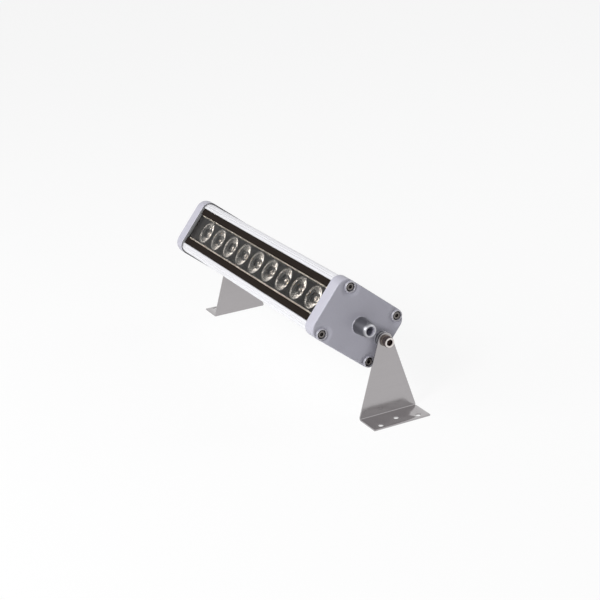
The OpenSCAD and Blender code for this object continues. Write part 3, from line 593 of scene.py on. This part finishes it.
# The cable boss is turned after painting: bare grey metal outside its bore, beyond a line 0.4 mm over the face.
# Its sides are painted darker, a painted shade and dark reflection, and its end faces lighter, a painted highlight
# on its tip.
in_bore = nearer_than(tree, place, lamp_origin.tolist(), bore_radius + bare_about_bore)
bare = add_node(tree, "ShaderNodeMath", {"operation": "GREATER_THAN", 1: 0.5}, {0: add_node(
    tree, "ShaderNodeMath", {"operation": "SUBTRACT"},
    {0: beyond(tree, place, cap_face + bare_above_face), 1: in_bore}).outputs[0]}).outputs[0]
boss_shade_and_highlight_tone = shaded_side_lit_end(tree, ("#7C7C80", "#B9B9BD"))
painted_tone = shader.inputs["Base Color"].links[0].from_socket
outer_tone = blend(tree, bare, painted_tone, boss_shade_and_highlight_tone)
# The back face is painted dark brown, a painted shade for the shadowed inside of the housing seen through the
# glass
beyond_shaded_back = beyond(tree, place, cap_back + shaded_back_depth)
tree.links.new(blend(tree, beyond_shaded_back, "#2A2523", outer_tone), shader.inputs["Base Color"])
tree.links.new(bare, shader.inputs["Metallic"])
for cap_side in ("right", "left"):
    cap = make_piece(cap_side + "_cap", cap_patches, "lamp", cap_paint, [cap_side + "_end_cap"],
                     mirror=cap_side == "left")


# Well rims: a thin lighter ring laid on the top of the ring round each well, a painted highlight on the well's
# edge.
rim_highlight_metal, tree, shader, place = new_finish("painted_highlight_rim_alloy", "#BDBBBE", 0.8, 0.3)
# A soft grain of 0.5 mm on the painted highlight, for fine rings 0.2 mm apart that are too fine to draw
add_pattern(tree, shader, grain(tree, place, 0.5, detail=2), ("#B5B3B6", "#C6C4C7"), (0.30, 0.42), 0.003)
rim_foot, rim_top, rim_inside = well_top - 0.4, well_top + 0.12, well_radius - 0.02
rim_section = rounded([(rim_foot, rim_inside), (rim_top, rim_inside), (rim_top, ring_radius - 0.05),
                       (rim_foot, ring_radius + 0.1)], [0.1, 0.15, 0.2, 0.1], 3)
rim_section = np.concatenate([rim_section, rim_section[:1]])
for rim_side in ("right", "left"):
    rims = make_piece(rim_side + "_well_rim_highlights",
                      [turned(*rim_section.T, [0, *w], well_turn_steps) for w in screw_places],
                      "lamp", rim_highlight_metal, mirror=rim_side == "left")


# Gaskets: bands of grey silicone sheet, cut to the caps' outline a little inside their edge and running
# outside the screws. The caps clamp them on the sawn ends of the housing.
gasket_inset, gasket_band = 0.9, 2.8
gasket_low, gasket_high = lamp_box("right_gasket")
gasket_silicone, tree, shader, place = new_finish("grey_gasket_silicone", "#8A8A8C", 0.0, 0.7)
# Calendered sheet: matt, with a fine grain of 0.8 mm
add_pattern(tree, shader, grain(tree, place, 0.8, detail=3), ("#848486", "#909092"), (0.6, 0.8), 0.02)
gasket_loops = [cap_outline(gasket_inset, 1), cap_outline(gasket_inset + gasket_band, 1)]
gasket_faces = gasket_low[0], gasket_high[0]
gasket_patches = [(np.stack([on_face(loop, x) for x in gasket_faces]), grid_faces(2, len(loop), True))
                  for loop in gasket_loops]
gasket_patches += [(on_face(np.concatenate(gasket_loops), x), flat_faces(gasket_loops))
                   for x in gasket_faces]
for gasket_side in ("right", "left"):
    gasket = make_piece(gasket_side + "_rubber_gasket", gasket_patches, "lamp", gasket_silicone,
                        [gasket_side + "_gasket"], mirror=gasket_side == "left")


# Screws and pivot bolts: stainless socket-head screws, their heads knurled, with a hexagon socket
# pressed in. M4 screws hold the caps and M6 bolts are the pivots.
cap_screw = {"diameter": 4, "head": 7, "head_height": 4, "socket": 3, "socket_depth": 2, "teeth": 36}
pivot_bolt = {"diameter": 6, "head": 10, "head_height": 6, "socket": 5, "socket_depth": 3, "teeth": 48}
bolt_low, bolt_high = lamp_box("right_pivot_bolt")
screw_seat, screw_reach = cap_face - well_depth, 25
bolt_seat = bolt_high[0] - pivot_bolt["head_height"]
knurl_depth, chamfer_share = 0.035, 0.06
lit_end_depth, socket_shade_radius = 0.22, 3.0


def socket_screw(diameter, head, head_height, socket, socket_depth, teeth, reach, seat, centre):
    """A screw along the bar as rows of radii by angle: the socket's radius is half its width across
    flats over the cosine of the angle from the nearest flat; the knurl takes a share off the head's
    radius by the absolute sine of the angle times half its teeth."""
    steps = teeth * 4
    turn = np.linspace(0, 2 * np.pi, steps, endpoint=False)
    from_flat = (turn + np.pi / 6) % (np.pi / 3) - np.pi / 6
    hexagon = socket / 2 / np.cos(from_flat)
    plain = np.ones(steps)
    knurl = 1 - knurl_depth * np.abs(np.sin(turn * teeth / 2))
    r, top, chamfer = head / 2, seat + head_height, head * chamfer_share
    rows = [
        (seat - reach, 0 * plain), (seat - reach, (diameter / 2 - 0.5) * plain),
        (seat - reach + 0.5, diameter / 2 * plain), (seat, diameter / 2 * plain),
        (seat, (r - 0.35) * plain), (seat + 0.25, (r - 0.1) * plain), (seat + 0.45, r * knurl),
        (top - chamfer * 1.6, r * knurl), (top - chamfer * 1.3, (r * 0.985) * knurl),
        (top - chamfer, (r - 0.25 * chamfer) * plain * 0.99),
        (top - chamfer * 0.35, (r - chamfer * 0.6) * plain), (top, (r - chamfer * 1.3) * plain),
        (top, hexagon + 0.12 * socket), (top - 0.12 * socket, hexagon), (top - socket_depth, hexagon),
        (top - socket_depth - 0.25 * socket, 0 * plain)]
    return turned([h for h, row in rows], np.array([row for h, row in rows]), [0, *centre], steps)


screw_finishes = {}
for name, shaded_side_tone, lit_end_tone, top in (
        ("cap_screw_steel", "#2E2B2A", "#75716F", screw_seat + cap_screw["head_height"]),
        ("pivot_bolt_steel", "#857A76", "#DCD6D3", bolt_high[0])):
    steel, tree, shader, place = new_finish(name, lit_end_tone, 1.0, 0.24)
    # Cold-headed steel: faint drawn marks 0.4 mm apart. The end face is painted lighter, a painted highlight, and
    # the knurled side and socket darker, a painted shade and dark reflection; the cap screws' heads are dark
    # overall, a painted shade in their wells
    add_pattern(tree, shader, grain(tree, place, 0.4, (6, 1, 1)), None, (0.18, 0.34), 0.004)
    tone = blend(tree, beyond(tree, place, top - lit_end_depth), shaded_side_tone, lit_end_tone)
    # The pivot bolt's socket is painted dark right through, a painted shade in its recess
    socket_shade = nearer_than(tree, place, tilt_axis.tolist(), socket_shade_radius)
    tree.links.new(blend(tree, socket_shade, tone, "#2E2422"), shader.inputs["Base Color"])
    screw_finishes[name] = steel
for bolt_side in ("right", "left"):
    mirrored = bolt_side == "left"
    screws = make_piece(
        bolt_side + "_cap_screw_set",
        [socket_screw(**cap_screw, reach=screw_reach, seat=screw_seat, centre=w) for w in screw_places],
        "lamp", screw_finishes["cap_screw_steel"], [bolt_side + "_cap_screws"], mirror=mirrored)
    bolt = make_piece(
        bolt_side + "_bolt",
        [socket_screw(**pivot_bolt, reach=bolt_seat - bolt_low[0], seat=bolt_seat, centre=pivot_centre)],
        "lamp", screw_finishes["pivot_bolt_steel"], [bolt_side + "_pivot_bolt"], mirror=mirrored)


# Glass: a toughened pane with ground edges, bedded on black tape in the ledge of the housing, and the
# silicone squeezed up between it and the two ribs beside the lens window.
glass_edge, bead_edge, bead_softness = 0.4, 0.1, 0.15
bead_inner_spill, bead_outer_spill = 0.08, 0.15


def bar(section, low, high, edge):
    """A section in (y, z) drawn along the bar, its two end faces drawn in by a small chamfer."""
    small = drawn_in(section, edge)
    rows = [(small, low), (section, low + edge), (section, high - edge), (small, high)]
    ends = [(on_face(small, x), [list(range(len(small)))]) for x in (low, high)]
    return [(np.stack([on_face(loop, x) for loop, x in rows]),
             grid_faces(4, len(section), True))] + ends


def soft_rectangle(low, high, radius):
    """A rectangle between its lowest and highest corner, with softened corners."""
    return rounded([low, (high[0], low[1]), high, (low[0], high[1])], radius, 3)


def block(low, high, edge):
    """A bar that fills a box from its lowest to its highest corner, with softened edges."""
    return bar(soft_rectangle(low[1:], high[1:], edge), low[0], high[0], edge)


float_glass, tree, shader, place = new_finish("toughened_float_glass", "#FBFAF7", 0.0, 0.0)
shader.inputs["Transmission Weight"].default_value = 1.0
shader.inputs["IOR"].default_value = 1.16
# Anti-glare coating: it mirrors far less than bare glass, so its IOR is set low. Roller wave: the
# furnace leaves a very shallow waviness, 9 mm apart
wave = grain(tree, place, 9, detail=1)
add_pattern(tree, shader, wave, None, (0.0, 0.015), 0.002)
glass = make_piece("glass_pane", block(glass_low, glass_high, glass_edge), "lamp", float_glass,
                   ["glass_cover"])

bead_silicone, tree, shader, place = new_finish("beige_bedding_silicone", "#C9C0B4", 0.0, 0.5)
# Bead squeezed between rib and glass: slow swelling over 6 mm
swelling = grain(tree, place, 6, detail=2)
add_pattern(tree, shader, swelling, ("#BDB4A8", "#D3CABD"), (0.42, 0.6), 0.05)
bead_section = soft_rectangle((rib_inner - bead_inner_spill, glass_low[2] - bead_height),
                              (rib_outer + bead_outer_spill, glass_low[2]), bead_softness)
bead = make_piece("bedding_beads", bar(bead_section, glass_low[0], glass_high[0], bead_edge)
                  + bar(bead_section[::-1] * [-1, 1], glass_low[0], glass_high[0], bead_edge),
                  "lamp", bead_silicone)


# Glazing strips: two flat strips of matt brown-black plastic that cover the edges of the glass. They
# are glued to it along its two long sides.
strip_edge = 0.2
strip_plastic, tree, shader, place = new_finish("matt_black_strip_plastic", "#1F1916", 0.0, 0.7)
shader.inputs["Specular IOR Level"].default_value = 0.04
# Moulded skin: fine matt grain of 0.5 mm
skin = grain(tree, place, 0.5, detail=2)
add_pattern(tree, shader, skin, ("#1A1512", "#241E1A"), (0.62, 0.8), 0.015)
for strip_name in ("upper_glazing_strip", "lower_glazing_strip"):
    strip = make_piece(strip_name.replace("glazing_", ""), block(*lamp_box(strip_name), strip_edge),
                       "lamp", strip_plastic, [strip_name])


# Brackets: stainless sheet, 1.5 mm, cut to a triangle on a rectangle and folded once. The pivot
# bolt goes through the tip and three screws through the foot. The sheet's edges are softly rounded.
sheet, bend_inner, skirt, tip_radius = 1.5, 0.6, 3.0, 7.3
foot_half, foot_corner, corner_run = 29.8, 0.6, 4.0
pivot_hole, foot_hole = 3.06, 2.6
foot_holes = [(-20.0, 20.6), (20.0, 20.6), (0.0, 14.3)]
edge_round, round_middle = 0.15, 0.044
rim_rows = [(edge_round, 0), (round_middle, round_middle), (0, edge_round)]
hole_steps, tip_steps, bend_steps, bend_columns, bend_margin = 48, 24, 11, 20, 1.3
tilt_height = tilt_axis[2] / MM
bracket_low, bracket_high = (np.array(v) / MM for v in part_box("right_bracket"))
plate_inner, foot_edge = bracket_low[0], bracket_high[0]
bend_middle = bend_inner + sheet / 2
bend_centre = np.array([plate_inner + sheet + bend_inner, sheet + bend_inner])
bend_length = np.pi / 2 * bend_middle
bend_top = bend_centre[1]
bend_end = bend_top - bend_length
foot_end = bend_end - (foot_edge - bend_centre[0])


def to_world(points):
    """Row millimetres to metres."""
    return np.asarray(points, float) * MM


def folded(p, offset):
    """Unfolded points (y, height), moved out of the sheet's middle plane by an offset and folded:
    straight down to the bend, round it by the length travelled over its radius, then outwards."""
    y, s = p.T
    turn = np.clip((bend_top - s) / bend_middle, 0, np.pi / 2)
    out = bend_middle + offset
    x = bend_centre[0] - out * np.cos(turn) + np.maximum(bend_end - s, 0)
    z = bend_centre[1] - out * np.sin(turn) + np.maximum(s - bend_top, 0)
    return np.column_stack([x, y, z])


drop = tilt_height - skirt
span = np.hypot(foot_half, drop)
touch = np.degrees(np.arccos(tip_radius / span) - np.arctan2(drop, foot_half))
bend_rows = np.linspace(bend_end, bend_top, bend_steps)
half_bracket = np.concatenate([
    rounded([(0, foot_end), (foot_half, foot_end), (foot_half, foot_end + corner_run)],
            [0, foot_corner, 0], 4)[1:],
    np.column_stack([np.full(bend_steps, foot_half), bend_rows]), [(foot_half, skirt)],
    arc((0, tilt_height), (tip_radius, tip_radius), touch, 90, tip_steps)])
bracket_loop = distinct(np.concatenate([half_bracket, half_bracket[::-1] * [-1, 1]]))
bracket_holes = [((0, tilt_height), pivot_hole)] + [
    ((y, bend_end - (plate_inner + sheet + reach - bend_centre[0])), foot_hole)
    for y, reach in foot_holes]
columns = np.linspace(bend_margin - foot_half, foot_half - bend_margin, bend_columns)
rows_across = np.array([(y, s) for s in bend_rows for y in columns])
sheet_loops = [drawn_in(bracket_loop, edge_round)] + [
    circle(c, r + edge_round, hole_steps) for c, r in bracket_holes]
sheet_points = np.concatenate([*sheet_loops, rows_across])
sheet_faces = flat_faces(sheet_loops, [rows_across])
bracket_patches = [(folded(sheet_points, side * sheet / 2), sheet_faces) for side in (-1, 1)]
rim = [(d, sheet / 2 - o) for d, o in rim_rows] + [(d, o - sheet / 2) for d, o in rim_rows[::-1]]
bracket_patches.append((np.stack([folded(drawn_in(bracket_loop, d), o) for d, o in rim]),
                        grid_faces(len(rim), len(bracket_loop), True)))
bracket_patches += [(np.stack([folded(circle(c, r + d, hole_steps), o) for d, o in rim]),
                     grid_faces(len(rim), hole_steps, True)) for c, r in bracket_holes]

brushed, tree, shader, place = new_finish("cold_rolled_stainless_sheet", "#AAA7A8", 1.0, 0.18)
# Rolling grain: lines across the sheet 0.25 mm apart
rolled = grain(tree, place, 0.25, (1, 160, 1))
add_pattern(tree, shader, rolled, ("#A6A3A4", "#AFACAD"), (0.15, 0.19), 0.001)
for bracket_side in ("right", "left"):
    bracket = make_piece(bracket_side + "_sheet_bracket", bracket_patches, bracket_side + "_stand",
                         brushed, [bracket_side + "_bracket"], mirror=bracket_side == "left",
                         place=to_world)


# Washers: a plain washer between boss and bracket, painted near black, a painted shade where the bracket meets the
# cap, and a split stainless spring washer under the bolt head, painted a darker brownish grey, a painted shade.
# Both are loose on the bolt and clamped by it.
washer_steel, tree, shader, place = new_finish("stainless_washer_steel", "#857B77", 1.0, 0.3)
# Tumbled blanks: small marks of 0.6 mm
tumbled = grain(tree, place, 0.6, detail=3)
add_pattern(tree, shader, tumbled, ("#7C726E", "#90867F"), (0.24, 0.40), 0.006)
shade_dark_washer_steel, tree, shader, place = new_finish("painted_shade_washer_steel", "#3A3633", 1.0, 0.45)
# Dull and dark, a painted shade, with a grain of 0.3 mm
phosphate = grain(tree, place, 0.3, detail=3)
add_pattern(tree, shader, phosphate, ("#332F2D", "#433F3B"), (0.38, 0.55), 0.006)
flat_low, flat_high = lamp_box("right_flat_washer")
spring_low, spring_high = lamp_box("right_spring_washer")
washer_bore, spring_softness, flat_softness = 3.2, 0.25, 0.2
split_angle, split_steps = 5, 72
spring_section = soft_rectangle((spring_low[0], washer_bore), spring_high[:2], spring_softness)
spring_turn = np.radians(np.linspace(split_angle, 360 - split_angle, split_steps))
spring_points = np.stack([
    np.broadcast_to(spring_section[:, :1], (len(spring_section), split_steps)),
    pivot_centre[0] + spring_section[:, 1:] * np.cos(spring_turn),
    pivot_centre[1] + spring_section[:, 1:] * np.sin(spring_turn)], axis=-1)
spring_faces = grid_faces(split_steps, len(spring_section), True)
spring_ends = [(spring_points[:, i], [list(range(len(spring_section)))]) for i in (0, -1)]
flat_section = soft_rectangle((flat_low[0], washer_bore), flat_high[:2], flat_softness)
flat_section = np.concatenate([flat_section, flat_section[:1]])
for washer_side in ("right", "left"):
    mirrored = washer_side == "left"
    spring = make_piece(washer_side + "_split_washer",
                        [(spring_points.swapaxes(0, 1), spring_faces)] + spring_ends, "lamp",
                        washer_steel, [washer_side + "_spring_washer"], mirror=mirrored)
    flat = make_piece(washer_side + "_plain_washer", [turned(*flat_section.T, [0, *pivot_centre])],
                      "lamp", shade_dark_washer_steel, [washer_side + "_flat_washer"], mirror=mirrored)


# Lenses: clear acrylic collimators, one over each LED. A cone reflects the light forwards inside the
# lens; its front has a thin flange and a round pocket in the middle.
acrylic, tree, shader, place = new_finish("clear_moulded_acrylic", "#DDD6D1", 0.0, 0.0)
shader.inputs["Transmission Weight"].default_value = 1.0
shader.inputs["IOR"].default_value = 1.49
shader.inputs["Specular Tint"].default_value = paint("#303030")
# Faceted mould: cells of 1.6 mm, 0.11 mm deep, that break the light into sparkles
facets = add_node(tree, "ShaderNodeTexVoronoi", {"Scale": 1 / (1.6 * MM)}, {"Vector": place})
add_pattern(tree, shader, facets.outputs["Distance"], None, None, 0.11)
# The lens's outline is a row of heights with radii: the hollow over the LED, a cone whose radius grows
# by the 0.62 power of the height, the flange and the pocket. Shallow flutes, a cosine of the angle,
# run up the cone and fade out at both its ends by the root of a sine.
flute_count, flute_height = 24, 0.16
cone_rows, cone_root, cone_growth, cone_power, cone_top = 12, 4.4, 6.3, 0.62, 2.0
hollow = [(4.6, 0), (4.4, 1.4), (4.0, 2.6), (0, 2.8), (0, 4.3)]
lens_steps = 144
turn = np.linspace(0, 2 * np.pi, lens_steps, endpoint=False)
share = np.linspace(0, 1, cone_rows)
for number in range(1, 10):
    lens_low, lens_high = lamp_box("lens_%d" % number)
    rise, flange = lens_high[2] - lens_low[2], lens_high[1]
    cone = np.stack([share * (rise - cone_top), cone_root + cone_growth * share ** cone_power], axis=1)
    front_rows = [
        (rise - 1.4, 10.75), (rise - 1.4, flange - 0.1), (rise - 0.15, flange), (rise, flange - 0.15),
        (rise, 4.6), (rise - 0.2, 4.4), (rise - 1.5, 4.1), (rise - 1.6, 2.4), (rise - 1.5, 0)]
    heights, radii = np.concatenate([hollow, cone, front_rows]).T
    weight = np.zeros(len(radii))
    weight[len(hollow):len(hollow) + cone_rows] = np.sin(np.pi * share) ** 0.5
    grid = radii[:, None] + weight[:, None] * flute_height * np.cos(flute_count * turn)
    middle = (lens_low + lens_high) / 2
    lens = make_piece("collimator_%d" % number,
                      [turned(heights, grid, [middle[0], middle[1], lens_low[2]], lens_steps, "z")],
                      "lamp", acrylic, ["lens_%d" % number])


# LED board and hidden pieces: the CAD shapes carry the materials of the real ones. The board is
# screwed to its shelf in the housing, under the lenses.
def dress(nodes, finish):
    """Gives CAD nodes one material."""
    for node in nodes:
        piece = frame["nodes"][node]
        piece.data.materials.clear()
        piece.data.materials.append(finish)


board_mask, tree, shader, place = new_finish("black_solder_mask", "#1A120E", 0.0, 0.8)
shader.inputs["Specular IOR Level"].default_value = 0.05
# Screen-printed matt mask: fine speckle of 0.3 mm, with almost no shine
add_pattern(tree, shader, grain(tree, place, 0.3), ("#1A120E", "#241A15"), (0.7, 0.9), 0.01)
dress(["led_board"], board_mask)

plain_finishes = [
    # nodes, material, colours of its pattern, metallic, roughness from and to, grain mm, height mm
    (["cable_grommet", "blanking_plug"], "moulded_seal_rubber", ("#0E0E0F", "#181819"), 0,
     (0.5, 0.7), 0.6, 0.015, "seal_rubber"),
    (["glass_bedding_tapes"], "black_foam_tape", ("#141414", "#202020"), 0, (0.8, 0.95), 0.3, 0.05,
     "sealing_tape"),
    (["thermal_pad"], "grey_silicone_pad", ("#8C8F92", "#9DA0A3"), 0, (0.5, 0.65), 0.5, 0.02,
     "silicone_pad"),
    (["board_screws"], "zinc_plated_board_screw", ("#A9A9A4", "#BDBDB8"), 1, (0.25, 0.4), 0.4, 0.004,
     "stainless_screw"),
    (["led_%d" % i for i in range(1, 10)], "phosphor_over_led", ("#E9C84A", "#F2D869"), 0, (0.3, 0.4),
     0.4, 0.01, "led"),
    (["lens_holder_%d" % i for i in range(1, 10)], "black_polycarbonate_holder",
     ("#100E0D", "#1A1816"), 0, (0.3, 0.45), 0.5, 0.01, "holder_black"),
    (["driver_board"], "green_solder_mask", ("#0C4A2A", "#115C35"), 0, (0.3, 0.45), 1.2, 0.01,
     "board_green"),
    (["driver_transformer"], "yellow_tape_on_transformer", ("#C9A42C", "#D9B53B"), 0, (0.35, 0.5),
     1.5, 0.02, "transformer"),
    (["driver_capacitors"], "capacitor_sleeve", ("#16181F", "#20232C"), 0, (0.25, 0.35), 2.0, 0.01,
     "capacitor"),
    (["driver_choke"], "enamelled_copper_choke", ("#8F4A1E", "#B4662E"), 0, (0.25, 0.4), 0.7, 0.05,
     "choke"),
    (["driver_heatsink"], "mill_finish_heatsink", ("#B5B6B8", "#C8C9CB"), 1, (0.35, 0.5), 0.6, 0.01,
     "heatsink"),
    (["driver_terminal"], "green_terminal_plastic", ("#17683A", "#1F7A46"), 0, (0.35, 0.45), 0.8,
     0.01, "terminal"),
    (["led_leads"], "red_wire_insulation", ("#8E1512", "#A31B17"), 0, (0.35, 0.5), 0.8, 0.01,
     "lead_insulation"),
]
for nodes, name, colours, metallic, spread, grain_mm, height_mm, slot in plain_finishes:
    finish, tree, shader, place = new_finish(name, colours[0], metallic, spread[0])
    add_pattern(tree, shader, grain(tree, place, grain_mm, detail=3), colours, spread, height_mm)
    dress(nodes, finish)

bpy.context.view_layer.update()
